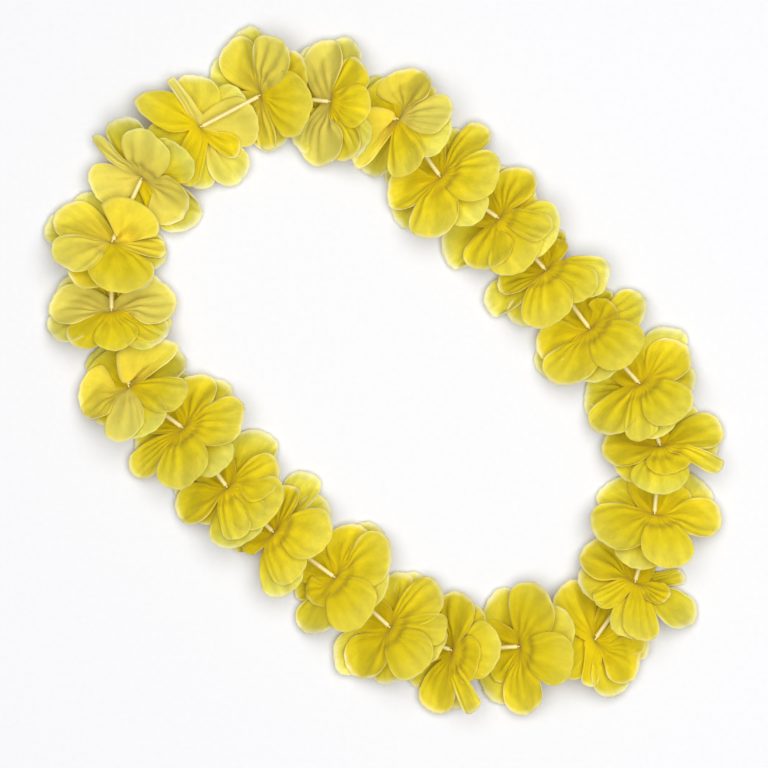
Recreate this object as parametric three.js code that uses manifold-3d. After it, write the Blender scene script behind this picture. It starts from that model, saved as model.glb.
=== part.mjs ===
// A fabric flower lei, laid in an oval on a flat surface. Millimetres, +Z up, resting on z = 0.
// Each bloom is two five-petalled layers of cloth joined at a punched centre. A length of straw
// keeps it from the next, and one knotted thread runs through all of them.
import * as THREE from "three";
import { mergeVertices } from "three/addons/utils/BufferGeometryUtils.js";
import Module from "manifold-3d";

const CENTRE = { x: 2, y: -1.4 };
const THREAD_HEIGHT = 14;
const THREAD_RADIUS = 0.4;
const PETAL_LENGTH = 38;
const LONGEST = 44;
const NOTCH = 10;
const NOTCH_LEAST = 17;
const KNEE_RADIUS = 14;
const LEAST_AREA = 2;
const BLADE = 0.6;
const BORE_RADIUS = 1.0;
const HUB_RADIUS = 2.3;
const HUB_HALF = 0.75;
const THROAT_RADIUS = 5.5;
const TIP_ROUND = 0.85;
const TIP_FULLNESS = 0.85;
const LAYER_GAP = 0.9;
const LAYER_PART = 2.2;
const LAYER_SPREAD = 0.04;
const FRONT_SHARE = 0.75;
const HUB_BEND = 4;
const SIDE_DROOP = 10;
const TIP_DROOP = 4;
const CUP = 0.6;
const FRONT_FLOOR = 3.5;
const FLOOR_SOFTNESS = 2;
const OVERLAY = 6;
const OVERLAY_RISE = 2.6;
const SPACER_RADIUS = 1.3;
const SPACER_BORE = 0.9;
const SPACER_SEAT = 1.2;
const KNOT_RADIUS = 1.3;
const KNOT_ROOM = 3.6;
const TAIL_LENGTH = 4;

const YELLOW = { color: 0xe8d838, roughness: 0.75, metalness: 0 };
const STRAW = { color: 0xf3efe2, roughness: 0.35, metalness: 0 };
const COTTON = { color: 0xf4f1e8, roughness: 0.9, metalness: 0 };

// Each bloom's petals seen from above, from the lowest in its layer to the topmost: the direction in
// degrees from +X, the reach from the hub and the width. The two sides of the oval mirror each other,
// so a shape is written once, as it lies on the left and lower side.
const SHAPES = {
  first: {
    front: [[17, 29, 18], [301, 27, 16], [262, 34, 30], [114, 39, 19], [148, 33, 14]],
    back: [[60, 33, 30], [235, 32, 26], [176, 31, 30], [0, 36, 18], [322, 39, 28]],
  },
  last: {
    front: [[292, 26, 12], [190, 31, 27], [322, 31.5, 30], [139, 37, 7], [88, 27, 27]],
    back: [[107, 36, 27], [262, 29, 30], [200, 29, 26], [320, 41, 34], [30, 32, 30]],
  },
  second: {
    front: [[352, 32, 13], [282, 31, 46], [150, 37, 28], [202, 34, 28], [45, 31, 28]],
    back: [[235, 32, 26], [300, 32, 26], [112, 33, 28], [166, 41, 25], [345, 33, 28]],
  },
  third: {
    front: [[225, 28, 24], [338, 35, 22], [172, 36.5, 28], [8, 38, 30], [283, 23, 26]],
    back: [[90, 32, 26], [145, 34, 26], [199, 39, 25], [325, 36, 26], [40, 33, 26]],
  },
  fourth: {
    front: [[135, 26, 28], [348, 33, 24], [268, 30.5, 25], [53, 36, 24], [198, 31, 36]],
    back: [[130, 31, 26], [30, 37, 28], [297, 35, 30], [195, 29, 24], [240, 27, 24]],
  },
  fifth: {
    front: [[150, 30, 28], [222, 40, 20], [72, 33, 29], [4, 37, 31], [276, 35, 33]],
    back: [[45, 36.5, 28], [188, 29, 28], [318, 34, 26], [250, 30, 26], [110, 32, 28]],
  },
  sixth: {
    front: [[125, 30, 28], [207, 33.5, 27], [332, 40, 36], [287, 31, 18], [14, 31.5, 30]],
    back: [[165, 30, 28], [350, 30, 26], [235, 26, 26], [55, 39.5, 30], [292, 42, 38]],
  },
  seventh: {
    front: [[150, 28, 26], [196, 20, 20], [75, 29, 22], [288, 30, 22], [5, 37, 25]],
    back: [[130, 32, 26], [185, 24, 22], [20, 35, 28], [58, 41, 24], [283, 41, 27]],
  },
  eighth: {
    front: [[150, 28, 26], [225, 20, 24], [68, 33, 28], [23, 36.5, 33], [305, 33.5, 33]],
    back: [[130, 32, 26], [188, 24, 20], [48, 39, 26], [247, 36.5, 27], [342, 32, 34]],
  },
  ninth: {
    front: [[150, 28, 26], [232, 35, 30], [37, 37, 27], [358, 34.5, 19], [311, 36, 30]],
    back: [[272, 32, 26], [62, 35.5, 22], [85, 32, 25], [212, 39, 26], [340, 33, 26]],
  },
  tenth: {
    front: [[160, 28, 26], [252, 38.5, 24], [84, 34, 26], [332, 18, 28], [292, 38, 12]],
    back: [[120, 33, 26], [205, 30, 26], [50, 29, 26], [275, 34.5, 24], [2, 28.5, 34]],
  },
  eleventh: {
    front: [[170, 26, 24], [225, 24, 20], [277, 40, 27], [68, 36.5, 33], [345, 38, 31]],
    back: [[170, 28, 26], [237, 35, 29], [25, 33, 28], [118, 34, 29], [300, 24, 26]],
  },
  twelfth: {
    front: [[190, 26, 24], [64, 25, 14], [123, 36, 28], [352, 37, 26], [302, 21, 22]],
    back: [[165, 29, 26], [262, 30, 11], [85, 32, 28], [20, 33, 28], [305, 42, 25]],
  },
  thirteenth: {
    front: [[262, 27, 11], [117, 37, 26], [50, 31, 26], [10, 30, 26], [322, 32, 29]],
    back: [[215, 28, 26], [145, 30, 26], [85, 31, 26], [2, 32, 26], [292, 35.5, 27]],
  },
};

// One row per bloom, round the ring: where its centre lies, which way its raised side leans along
// the ring (1 to the next bloom, -1 to the last) and that side's tilt from the flat. rear is the
// tilt of the low side where it differs. over is 1 where the low side lies on a neighbouring bloom.
const BLOOMS = [
  { at: [-106, 141], lean: -1, tilt: 14, rear: 22, over: 1, shape: "first", mirrored: true },
  { at: [-70, 160], lean: 1, tilt: 34, rear: 36, shape: "second", mirrored: true },
  { at: [-29.5, 156], lean: 1, tilt: 34, shape: "third", mirrored: true },
  { at: [10, 145.5], lean: 1, tilt: 40, shape: "fourth", mirrored: true },
  { at: [34, 112], lean: 1, tilt: 34, shape: "fifth", mirrored: true },
  { at: [68, 88], lean: 1, tilt: 34, shape: "sixth", mirrored: true },
  { at: [95, 58], lean: 1, tilt: 34, shape: "seventh", mirrored: true },
  { at: [120.5, 24], lean: 1, tilt: 34, shape: "eighth", mirrored: true },
  { at: [149.5, -8], lean: 1, tilt: 34, shape: "ninth", mirrored: true },
  { at: [161, -44], lean: 1, tilt: 34, shape: "tenth", mirrored: true },
  { at: [157.5, -83.5], lean: 1, tilt: 34, shape: "eleventh", mirrored: true },
  { at: [146, -123], lean: 1, tilt: 34, shape: "twelfth", mirrored: true },
  { at: [122.5, -156], lean: 1, tilt: 17, rear: 34, shape: "thirteenth" },
  { at: [80, -159.5], lean: -1, tilt: 32, rear: 34, shape: "eleventh" },
  { at: [41, -162], lean: -1, tilt: 34, shape: "tenth" },
  { at: [5, -149], lean: -1, tilt: 34, shape: "ninth" },
  { at: [-27, -120], lean: -1, tilt: 34, shape: "eighth" },
  { at: [-62.5, -94], lean: -1, tilt: 34, shape: "seventh" },
  { at: [-89.5, -68], lean: -1, tilt: 34, shape: "sixth" },
  { at: [-115, -33.5], lean: -1, tilt: 34, shape: "fifth" },
  { at: [-146.5, -10], lean: -1, tilt: 40, shape: "fourth" },
  { at: [-157, 34], lean: -1, tilt: 34, shape: "third" },
  { at: [-157, 74], lean: -1, tilt: 34, rear: 43, shape: "second" },
  { at: [-139, 112.5], lean: 1, tilt: 40, rear: 22, over: 1, shape: "last" },
];

const UP = new THREE.Vector3(0, 0, 1);
const DEG = Math.PI / 180;
const WHOLE = 2 * Math.PI;
const count = BLOOMS.length;

const wasm = await Module();
wasm.setup();

const hubOf = ({ at }) => new THREE.Vector3(at[0] - CENTRE.x, at[1] - CENTRE.y, THREAD_HEIGHT);
const hubs = BLOOMS.map(hubOf);
const label = (kind, k) => `${kind}_${String(k + 1).padStart(2, "0")}`;
const wrapped = (angle) => ((angle % WHOLE) + WHOLE) % WHOLE;

function smooth(low, high, x) {
  const k = Math.min(Math.max((x - low) / (high - low), 0), 1);
  return k * k * (3 - 2 * k);
}

// The thread's direction at a hub, level, pointing on round the ring.
function ringDirection(k) {
  const next = hubs[(k + 1) % count];
  const last = hubs[(k + count - 1) % count];
  return next.clone().sub(hubs[k]).normalize().add(hubs[k].clone().sub(last).normalize()).normalize();
}

// The middle surface of a layer at a turn, its angle in the layer from the leaning side towards the
// left, and a radius in it: how far along the lean, how far across it and how high.
function sheetPoint(frame, layer, turn, radius, aside) {
  const grown = smooth(NOTCH, PETAL_LENGTH, radius);
  const rise = CUP * grown * (aside / PETAL_LENGTH / 0.35) ** 2;
  const settle = HUB_BEND * (1 - Math.exp(-radius / HUB_BEND));
  const fade = Math.exp(-radius / HUB_BEND);
  const tilt = frame.rear + (frame.tilt - frame.rear) * smooth(-0.6, 0.6, Math.cos(turn));
  const sinT = Math.sin(tilt);
  const cosT = Math.cos(tilt);
  const forward = cosT * (radius - settle);
  const upward = sinT * radius + (1 - sinT) * settle;
  const normal = new THREE.Vector2(-(sinT + (1 - sinT) * fade), cosT * (1 - fade)).normalize();
  const clear = Math.max(radius - HUB_RADIUS, 0);
  const parting = LAYER_PART * (1 - Math.exp(-clear / HUB_BEND)) + LAYER_SPREAD * clear;
  const share = layer === 0 ? -FRONT_SHARE : 1 - FRONT_SHARE;
  const gap = (layer === 0 ? -LAYER_GAP / 2 : LAYER_GAP / 2) + share * parting;
  const along = Math.cos(turn) * forward + normal.x * (rise - gap);
  const across = Math.sin(turn) * radius;
  let z = THREAD_HEIGHT + Math.cos(turn) * upward + normal.y * (rise - gap);
  z -= SIDE_DROOP * (Math.abs(across) / PETAL_LENGTH) ** 2 + TIP_DROOP * (radius / PETAL_LENGTH) ** 2;
  return { along, across, z };
}

// A petal's turn, length and width in its own tilted layer, found so that its tip is seen from above
// in the given direction and at the given reach.
function aimed(frame, layer, aim, reach, width) {
  let turn = aim;
  let length = reach;
  for (let k = 0; k < 12; k += 1) {
    const { along, across } = sheetPoint(frame, layer, turn, length, 0);
    const miss = aim - Math.atan2(across, along);
    turn += Math.atan2(Math.sin(miss), Math.cos(miss));
    length *= Math.min(Math.max(reach / Math.hypot(along, across), 0.8), 1.25);
  }
  const tilt = Math.cos(turn) > 0 ? frame.tilt : frame.rear;
  const half = width / Math.hypot(Math.cos(turn), Math.sin(turn) * Math.cos(tilt)) / 2;
  return { turn: wrapped(turn), length: Math.min(length, LONGEST), half };
}

// A layer's petals, sorted round the hub. before and after are the angles from a petal's line to
// the notches beside it.
function sortedPetals(frame, layer, rows) {
  const aim = (seen) => (frame.mirrored ? -90 - seen : seen) * DEG - frame.heading;
  const petals = rows.map(([seen, reach, width]) => aimed(frame, layer, aim(seen), reach, width));
  petals.sort((p, q) => p.turn - q.turn);
  petals.forEach((petal, i) => {
    petal.before = -wrapped(petal.turn - petals[(i + 4) % 5].turn) / 2;
    petal.after = wrapped(petals[(i + 1) % 5].turn - petal.turn) / 2;
  });
  return petals;
}

// A bloom's own axes: the way it leans, its left, and its layers of petals.
function bloomFrame(row, k) {
  const lean = ringDirection(k).multiplyScalar(row.lean);
  const left = new THREE.Vector3().crossVectors(UP, lean);
  const frame = { hub: hubs[k], lean, left, heading: Math.atan2(lean.y, lean.x) };
  frame.tilt = row.tilt * DEG;
  frame.rear = (row.rear ?? row.tilt) * DEG;
  frame.over = row.over ?? 0;
  frame.mirrored = row.mirrored ?? false;
  const shape = SHAPES[row.shape];
  frame.layers = [shape.front, shape.back].map((rows, layer) => sortedPetals(frame, layer, rows));
  return frame;
}

// A petal's outline in its layer, side from -1 at one side to 1 at the other: along its line, and
// across it.
function outline(petal, side) {
  const { length, half } = petal;
  const widest = Math.max(length - half * TIP_ROUND, 0.45 * length);
  const bend = (side * Math.PI) / 2;
  const tip = widest + (length - widest) * Math.max(Math.cos(bend), 0) ** TIP_FULLNESS;
  return { tip, aside: half * Math.sin(bend) };
}

// How far round its outline a petal goes before it meets the line of the notch at this end, and how
// far from the hub that is: the least distance, where it ends short of that line.
function meeting(petal, end) {
  const edge = Math.abs(end < 0 ? petal.before : petal.after);
  const corner = outline(petal, 1);
  if (Math.atan2(corner.aside, corner.tip) <= edge) return { side: 1, radius: NOTCH_LEAST };
  let low = 0;
  let high = 1;
  for (let k = 0; k < 24; k += 1) {
    const middle = (low + high) / 2;
    const { tip, aside } = outline(petal, middle);
    if (Math.atan2(aside, tip) < edge) low = middle;
    else high = middle;
  }
  const { tip, aside } = outline(petal, low);
  return { side: low, radius: Math.max(Math.hypot(tip, aside), NOTCH_LEAST) };
}

// A place of a layer set down in the lei, where the cloth rests on the surface below, or on the
// bloom it lies over.
function placed(frame, layer, { along, across, z }) {
  const overlay = OVERLAY * smooth(2, 12, -along) + OVERLAY_RISE * smooth(18, 34, -along);
  const rest = BLADE / 2 + (layer === 0 ? FRONT_FLOOR : 0) + frame.over * overlay;
  const over = z - rest;
  return new THREE.Vector3(
    frame.hub.x + frame.lean.x * along + frame.left.x * across,
    frame.hub.y + frame.lean.y * along + frame.left.y * across,
    rest + Math.max((over + Math.hypot(over, FLOOR_SOFTNESS)) / 2 - FLOOR_SOFTNESS / 8, 0),
  );
}

// The rings of samples that a layer is drawn with. The inner ones have evenly spread samples, the
// same in both layers, so that the layers bend alike. The outermost goes round the petals' edges:
// at each petal the notch before it, side -1, and places across its tip.
const INNER_RINGS = [
  { samples: 10, radius: BORE_RADIUS },
  { samples: 10, radius: THROAT_RADIUS },
  { samples: 20, radius: KNEE_RADIUS },
];
const EDGE_SIDES = [-1, -0.86, -0.5, -0.17, 0.17, 0.5, 0.86];

// A sample whose middle is no higher than this rests on the surface.
const RESTING = BLADE / 2 + 1e-6;

// One sample of a layer: its turn from 0 to a whole turn, and its place.
function sampleAt(frame, layer, turn, radius, aside) {
  const mid = placed(frame, layer, sheetPoint(frame, layer, turn, radius, aside));
  return { turn: wrapped(turn), radius, mid, normal: new THREE.Vector3() };
}

function edgeSample(frame, layer, i, side) {
  const petals = frame.layers[layer];
  const petal = petals[i];
  if (side === -1) {
    const radius = Math.max(meeting(petal, -1).radius, meeting(petals[(i + 4) % 5], 1).radius);
    return sampleAt(frame, layer, petal.turn + petal.before, radius, 0);
  }
  const { tip, aside } = outline(petal, side * meeting(petal, side < 0 ? -1 : 1).side);
  return sampleAt(frame, layer, petal.turn + Math.atan2(aside, tip), Math.hypot(tip, aside), aside);
}

// The rings of a layer's samples, its edge apart. Where a petal's tip rests on the surface it lies
// flat, so the cloth inside it is drawn to the shoulders beside the tip, and the tip by itself.
function layerRings(frame, layer) {
  const inner = INNER_RINGS.map(({ samples, radius }) => {
    const turns = Array.from({ length: samples }, (_, i) => (i / samples) * WHOLE);
    return turns.map((turn) => sampleAt(frame, layer, turn, radius, 0));
  });
  const petals = frame.layers[layer].map((_, i) => (
    EDGE_SIDES.map((side) => edgeSample(frame, layer, i, side))
  ));
  const inTurn = (samples) => samples.flat().sort((p, q) => p.turn - q.turn);
  const resting = (edge) => layer === 1 && edge.slice(2, 6).every(({ mid }) => mid.z <= RESTING);
  const shoulders = inTurn(petals.map((edge) => (resting(edge) ? edge.toSpliced(3, 2) : edge)));
  const tips = petals.filter(resting).flatMap(([, , a, b, c, d]) => [[a, b, c], [a, c, d]]);
  return { inner, shoulders, tips, edge: inTurn(petals) };
}

// The area of the triangle between three samples, laid flat, times two: above zero where they go
// round to the left.
function turnedArea(a, b, c) {
  const [p, q, r] = [a, b, c].map(({ turn, radius }) => [radius * Math.cos(turn), radius * Math.sin(turn)]);
  return (q[0] - p[0]) * (r[1] - p[1]) - (q[1] - p[1]) * (r[0] - p[0]);
}

// The triangles between an inner ring and an outer one, both sorted by their turn. The nearer of the
// two next samples comes first, unless its triangle would be folded over.
function stitch(inner, outer) {
  const faces = [];
  const turnAt = (ring, i) => ring[i % ring.length].turn + (i < ring.length ? 0 : WHOLE);
  let i = 0;
  let o = 0;
  while (i < inner.length || o < outer.length) {
    const from = inner[i % inner.length];
    const start = outer[o % outer.length];
    const nextInner = inner[(i + 1) % inner.length];
    const nextOuter = outer[(o + 1) % outer.length];
    let onward = turnAt(outer, o + 1) <= turnAt(inner, i + 1);
    if (onward && turnedArea(from, start, nextOuter) < LEAST_AREA) onward = false;
    else if (!onward && turnedArea(from, start, nextInner) < LEAST_AREA) onward = true;
    if (i === inner.length) onward = true;
    if (o === outer.length) onward = false;
    faces.push([from, start, onward ? nextOuter : nextInner]);
    if (onward) o += 1;
    else i += 1;
  }
  return faces;
}

// One layer as two skins, each a list of rings of samples that know their point above and below.
function layerSheet(frame, layer) {
  const { inner, shoulders, tips, edge: outermost } = layerRings(frame, layer);
  const rings = [...inner, outermost];
  const faces = [stitch(inner[0], inner[1]), stitch(inner[1], inner[2]), stitch(inner[2], shoulders), tips];
  const edge = new THREE.Vector3();
  const cross = new THREE.Vector3();
  for (const [a, b, c] of faces.flat()) {
    edge.subVectors(c.mid, a.mid);
    cross.subVectors(b.mid, a.mid).cross(edge);
    for (const sample of [a, b, c]) sample.normal.add(cross);
  }
  for (const sample of rings[0]) sample.normal.copy(frame.lean).negate();
  for (const sample of rings.flat()) {
    const offset = sample.normal.normalize().multiplyScalar(BLADE / 2);
    sample.above = sample.mid.clone().add(offset);
    sample.below = sample.mid.clone().sub(offset);
    if (sample.mid.z <= RESTING) sample.below.z = 0;
    sample.below.z = Math.max(sample.below.z, 0);
  }
  const share = (HUB_RADIUS - BORE_RADIUS) / (THROAT_RADIUS - BORE_RADIUS);
  const wall = rings[0].map((sample, i) => ({
    turn: sample.turn,
    radius: HUB_RADIUS,
    above: sample.above.clone().lerp(rings[1][i].above, share),
    below: sample.below.clone().lerp(rings[1][i].below, share),
  }));
  return { rings, faces, wall };
}

// A bloom is one closed skin: over the front layer, round its edge, back under it to the hub, out
// over the back layer, round, and back through the bore.
function bloomGeometry(frame) {
  const corners = [];
  const put = (...points) => corners.push(...points);
  const skin = (faces, face, flip) => {
    for (const [a, b, c] of faces) {
      if (flip) put(a[face], c[face], b[face]);
      else put(a[face], b[face], c[face]);
    }
  };
  const band = (upper, upperFace, lower, lowerFace) => {
    for (let i = 0; i < upper.length; i += 1) {
      const j = (i + 1) % upper.length;
      put(upper[i][upperFace], lower[i][lowerFace], upper[j][upperFace]);
      put(upper[j][upperFace], lower[i][lowerFace], lower[j][lowerFace]);
    }
  };
  const [front, back] = [layerSheet(frame, 0), layerSheet(frame, 1)];
  skin(front.faces.flat(), "above", false);
  band(front.rings.at(-1), "above", front.rings.at(-1), "below");
  skin(stitch(front.wall, front.rings[1]), "below", true);
  skin(front.faces.slice(1).flat(), "below", true);
  band(front.wall, "below", back.wall, "above");
  skin(stitch(back.wall, back.rings[1]), "above", false);
  skin(back.faces.slice(1).flat(), "above", false);
  band(back.rings.at(-1), "above", back.rings.at(-1), "below");
  skin(back.faces.flat(), "below", true);
  band(back.rings[0], "below", front.rings[0], "above");
  return new THREE.BufferGeometry().setFromPoints(corners);
}

// A straight tube between two points, from a ring outline.
function tubeGeometry(from, to, radius, bore) {
  const outline = new THREE.Shape().absarc(0, 0, radius, 0, 2 * Math.PI);
  outline.holes.push(new THREE.Path().absarc(0, 0, bore, 0, 2 * Math.PI, true));
  const path = new THREE.LineCurve3(from, to);
  return new THREE.ExtrudeGeometry(outline, { steps: 1, curveSegments: 4, extrudePath: path });
}

// A route that a tube follows corner by corner, with no rounding between its points.
class CornerRoute extends THREE.Curve {
  constructor(points) {
    super();
    this.points = points;
  }
  getPoint(t, target = new THREE.Vector3()) {
    const place = t * (this.points.length - 1);
    const k = Math.min(Math.floor(place), this.points.length - 2);
    return target.lerpVectors(this.points[k], this.points[k + 1], place - k);
  }
  getPointAt(u, target) {
    return this.getPoint(u, target);
  }
  getTangentAt(u, target) {
    return this.getTangent(u, target);
  }
}

function toSolid(geometry, matrix = new THREE.Matrix4()) {
  const bare = geometry.clone().applyMatrix4(matrix);
  bare.deleteAttribute("normal");
  bare.deleteAttribute("uv");
  const merged = mergeVertices(bare, 1e-4);
  const mesh = { numProp: 3, vertProperties: merged.attributes.position.array };
  mesh.triVerts = new Uint32Array(merged.index.array);
  return new wasm.Manifold(new wasm.Mesh(mesh));
}

function toGeometry(solid) {
  const { numProp, vertProperties, triVerts } = solid.getMesh();
  const place = new THREE.BufferAttribute(new Float32Array(vertProperties), numProp);
  return new THREE.BufferGeometry()
    .setAttribute("position", place)
    .setIndex(new THREE.BufferAttribute(new Uint32Array(triVerts), 1));
}

// Where a spacer starts, out from the hub of bloom k towards bloom j: its end face, square to its
// own line, stays clear of the hub whose axis is turned from that line.
function seat(k, j, room) {
  const out = hubs[j].clone().sub(hubs[k]).normalize();
  const turned = new THREE.Vector3().crossVectors(out, ringDirection(k)).length();
  const start = HUB_HALF + SPACER_SEAT + SPACER_RADIUS * turned + room;
  return hubs[k].clone().addScaledVector(out, start);
}

// The thread leaves the knot beside the first bloom, runs through every hub and comes back to it.
function threadGeometry() {
  const knot = seat(0, count - 1, KNOT_ROOM / 2 - SPACER_SEAT);
  const inward = hubs[0].clone().sub(knot).setLength(THREAD_RADIUS);
  const route = [knot.clone().add(inward)];
  for (let k = 0; k < count; k += 1) {
    const out = ringDirection(k);
    route.push(hubs[k].clone().addScaledVector(out, -HUB_HALF));
    route.push(hubs[k].clone().addScaledVector(out, HUB_HALF));
  }
  route.push(knot.clone().sub(inward));
  const outline = new THREE.Shape().absarc(0, 0, THREAD_RADIUS, 0, 2 * Math.PI);
  const run = new THREE.ExtrudeGeometry(outline, {
    steps: route.length - 1,
    curveSegments: 4,
    extrudePath: new CornerRoute(route),
  });
  const ball = new THREE.SphereGeometry(KNOT_RADIUS, 8, 6);
  let solid = toSolid(run).add(toSolid(ball, new THREE.Matrix4().setPosition(knot)));
  for (const slant of [-0.5, 0.5]) {
    const end = knot.clone().add(new THREE.Vector3(slant * TAIL_LENGTH, slant, -TAIL_LENGTH));
    const tail = new THREE.ExtrudeGeometry(outline, {
      steps: 1,
      curveSegments: 4,
      extrudePath: new THREE.LineCurve3(knot, end),
    });
    solid = solid.add(toSolid(tail));
  }
  return toGeometry(solid);
}

const lei = new THREE.Group();

function addPiece(name, geometry, finish) {
  const mesh = new THREE.Mesh(geometry, new THREE.MeshStandardMaterial(finish));
  mesh.name = name;
  lei.add(mesh);
}

BLOOMS.forEach((row, k) => {
  const next = (k + 1) % count;
  addPiece(label("bloom", k), bloomGeometry(bloomFrame(row, k)), YELLOW);
  const end = seat(next, k, next === 0 ? KNOT_ROOM : 0);
  addPiece(label("spacer", k), tubeGeometry(seat(k, next, 0), end, SPACER_RADIUS, SPACER_BORE), STRAW);
});
addPiece("thread", threadGeometry(), COTTON);

export default lei;
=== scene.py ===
import math
import bpy
import numpy as np
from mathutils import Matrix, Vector


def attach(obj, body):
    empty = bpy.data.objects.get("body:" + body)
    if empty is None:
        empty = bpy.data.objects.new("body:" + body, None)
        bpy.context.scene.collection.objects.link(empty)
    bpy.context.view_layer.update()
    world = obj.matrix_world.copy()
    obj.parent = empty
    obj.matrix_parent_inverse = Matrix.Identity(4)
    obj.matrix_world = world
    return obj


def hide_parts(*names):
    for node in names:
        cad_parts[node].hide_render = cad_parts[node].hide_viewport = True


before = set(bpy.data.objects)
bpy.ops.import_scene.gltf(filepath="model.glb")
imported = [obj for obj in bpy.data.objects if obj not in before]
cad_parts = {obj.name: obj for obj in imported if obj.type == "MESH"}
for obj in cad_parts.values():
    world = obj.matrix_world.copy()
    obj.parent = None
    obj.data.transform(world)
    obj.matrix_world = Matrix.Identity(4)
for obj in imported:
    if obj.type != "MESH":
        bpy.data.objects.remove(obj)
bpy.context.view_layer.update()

# A fabric flower lei: the looks. Lengths are millimetres, and become metres where a mesh is made.
MM = 0.001

# The part's own sizes.
CENTRE = (2, -1.4)
THREAD_HEIGHT = 14
THREAD_RADIUS = 0.4
PETAL_COUNT = 5
PETAL_LENGTH = 38
LONGEST = 44
NOTCH = 10
BORE_RADIUS = 1.0
HUB_RADIUS = 2.3
HUB_HALF = 0.75
TIP_ROUND = 0.85
TIP_FULLNESS = 0.85
LAYER_GAP = 0.9
LAYER_PART = 2.2
LAYER_SPREAD = 0.04
FRONT_SHARE = 0.75
HUB_BEND = 4
SIDE_DROOP = 10
TIP_DROOP = 4
FLOOR_SOFTNESS = 2
SPACER_RADIUS = 1.3
SPACER_BORE = 0.9
SPACER_SEAT = 1.2
KNOT_ROOM = 3.6
TAIL_LENGTH = 4

# How the thin cloth lies. Two numbers in brackets are where a change starts and where it ends, or
# the least and the most of a random draw.
CLOTH = 0.28
CUP = 1.5
CUP_REACH = 0.35
TILT_CHANGE = (-0.6, 0.6)
FRONT_FLOOR = 3
FLOOR_SINK = FLOOR_SOFTNESS / 8
RIM_RISE = 2
RIM_RISE_START = 22
STACK = 1.2
STACK_ON_FLOOR = 0.4
OVERLAY = 4.7
OVERLAY_SPAN = (2, 12)
OVERLAY_RISE = 4.5
OVERLAY_RISE_SPAN = (18, 34)
FLAP_FOOT = 6.5
FLAP_RISE = 4.2
FLAP_DROOP = 0.003
FLAP_NEAR_SIDE = (-0.2, 1)
FLAP_LAG = 1.5
FLAP_LIFTED = 0.6
FLAP_LIFTED_SOONER = 0.3

# A petal's outline and its relief. Waves are given in radians, from its middle line to its side or,
# for the sway, from its foot to its tip.
PHASES = (0, 6.28)
WIDEST_LEAST = 0.45
TAPER_FULLNESS = 0.4
SWELL = 0.9
TIP_WAVES = ((0.03, 1.2 * math.pi, 2.4 * math.pi), (0.021, 5 * math.pi, 8 * math.pi))
RELIEF_GROWTH = 8
PLEATS = (2, 5)
PLEAT_HEIGHT = 0.75
PLEAT_SHARE = (0.5, 1.2)
PLEAT_START = (5, 16)
PLEAT_FADE = 0.6
PLEAT_FADE_SPAN = (0.55, 1)
PLEAT_DRIFT = 0.2
PLEAT_DRIFT_WAVES = 3
PLEAT_SWAY = 0.06
PLEAT_SWAY_WAVES = 5
RUFFLE = 0.8
RUFFLE_WAVES = (3, 6)
CURL = 1.2
OUTER_HALF = (0.5, 1)
TWIST = 0.7
TWIST_SPAN = (0.2, 1)

# What the colours read from a mesh: how far off the thread the cloth counts as outer, how the rim's
# width is judged along a petal's sides, and how far apart the patterns of petals and layers lie.
OUTER_SPAN = (14, 28)
SIDE_RIM = 1.2
NO_RIM = 20
FAN_HALF = 0.45
LAYER_SHIFT = 50.0

# How finely the meshes are cut.
SIDE_STEPS = 25
DISC_STEPS = 6
REACH_STEPS = 20
STRAW_SIDES = 20
RIB_PITCH = 1.1
RIB_HEIGHT = 0.07
RIB_STEPS = 6
THREAD_SIDES = 8
THREAD_STEP = 3
KNOT_STEPS = 60
KNOT_SIZE = 0.4
KNOT_DEPTH = 0.44
KNOT_END = 0.02
TAIL_STEPS = 6

# The photograph's frame: its pixels across, a pixel's size on the lei, the pixel at the lei's middle,
# and how far above its focus the camera stands.
PHOTO_PIXELS = 768
PIXEL = 0.58
PHOTO_CENTRE = (382.5, 371)
CAMERA_DISTANCE = 3200
FOCUS_HEIGHT = 10
SENSOR_WIDTH = 36
FARTHEST_SEEN = 20000

# The studio. The lamp's power is in watts.
TABLE_HALF = 3000
TABLE_DROP = 0.02
LAMP_PLACE = (200, 0, 2400)
LAMP_WIDTH = 3000
LAMP_POWER = 102
SKY_STRENGTH = 0.2

# The materials. The pitches of the weave and the twist, the fray of the lit rim and the rim are given in
# millimetres, a bump as its strength and its depth, and a noise as its scale. Most of a noise lies in
# the range of NOISE_SPAN. Shades are what a colour's brightness is multiplied by; those of the folds,
# threads and pleats are painted shade.
GAMMA = 2.2
NOISE_SPAN = (0.3, 0.7)
CREASE_SPAN = (-1, 0.6)
BROAD_FOLD_PAINTED_SHADE = (0.9, 1.05)
FINE_THREAD_PAINTED_SHADE = (0.95, 1.03)
BLOTCH_SHADES = (0.95, 1.04)
TINT_SHADES = (0.925, 1.03)
PLEAT_PAINTED_SHADE = (0.93, 1.02)
STREAKS_ACROSS = 3.0
STREAKS_ALONG = 0.8
BROAD_STREAKS = 3.0
FINE_STREAKS = 16.0
BLOTCHES = 130.0
STRAW_CLOUDS = 900.0
TABLE_GRAIN = 300.0
WEAVE_PITCH = 0.5
WEAVE_RELIEF = 0.12
BROAD_RELIEF = 1.2
FINE_RELIEF = 0.3
CLOTH_BUMP = (0.35, 0.5)
TWIST_PITCH = 0.9
TWIST_BUMP = (0.6, 0.1)
LIT_RIM_FRAY = (-0.6, 0.6)
INNER_RIM = 1.4
RIM_POWER = 1.4
RIM_SHARE = (0.22, 0.95)
THROUGH = 0.4
PALE_SHARE = 0.5
DEEP_SHARE = 0.6
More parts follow.
